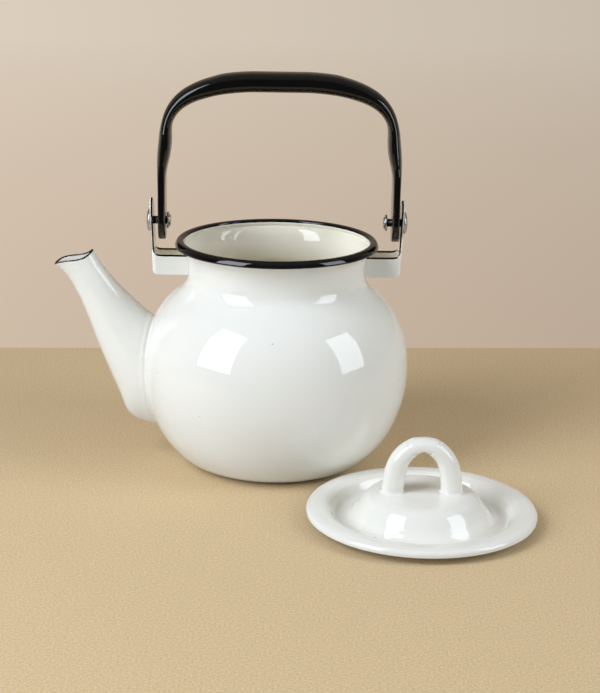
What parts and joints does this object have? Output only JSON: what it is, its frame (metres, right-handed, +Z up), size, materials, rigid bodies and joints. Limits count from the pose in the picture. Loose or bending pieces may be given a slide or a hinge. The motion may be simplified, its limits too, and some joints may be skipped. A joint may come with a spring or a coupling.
{
  "type": "enamel tea kettle",
  "caption": "Round enamelled tea kettle with a side spout, a swinging bail handle and a loose lid that lies beside it.",
  "frame": {"origin": "middle of the flat underside of the kettle's body, on the table", "axes": "+Z up along the body's axis, -X towards the spout's mouth, X along the bail's pivot axis, -Y towards the picture's camera"},
  "size_m": [0.2969, 0.2603, 0.2501],
  "materials": {
    "cream_enamel": "gloss vitreous enamel on steel",
    "black_enamel": "gloss black enamel on steel",
    "plated_steel": "dull bright plating"
  },
  "bodies": {
    "kettle": {"kettle_body": "cream_enamel", "rim_bead": "black_enamel", "spout": "cream_enamel", "left_bracket": "cream_enamel", "right_bracket": "cream_enamel", "left_rivet": "plated_steel", "right_rivet": "plated_steel", "left_washer": "plated_steel", "right_washer": "plated_steel"},
    "bail": {"bail": "black_enamel"},
    "lid": {"lid_shell": "cream_enamel", "lid_loop": "cream_enamel"}
  },
  "joints": [
    {"name": "bail_swing", "type": "hinge", "parent": "kettle", "child": "bail", "pos_m": [0, 0, 0.1567], "axis": [1, 0, 0], "range_deg": [-117, 117]},
    {"name": "lid_lift", "type": "slide", "parent": "kettle", "child": "lid", "axis": [0.4482, -0.547, 0.7071], "range_m": [0, 0.25]}
  ]
}
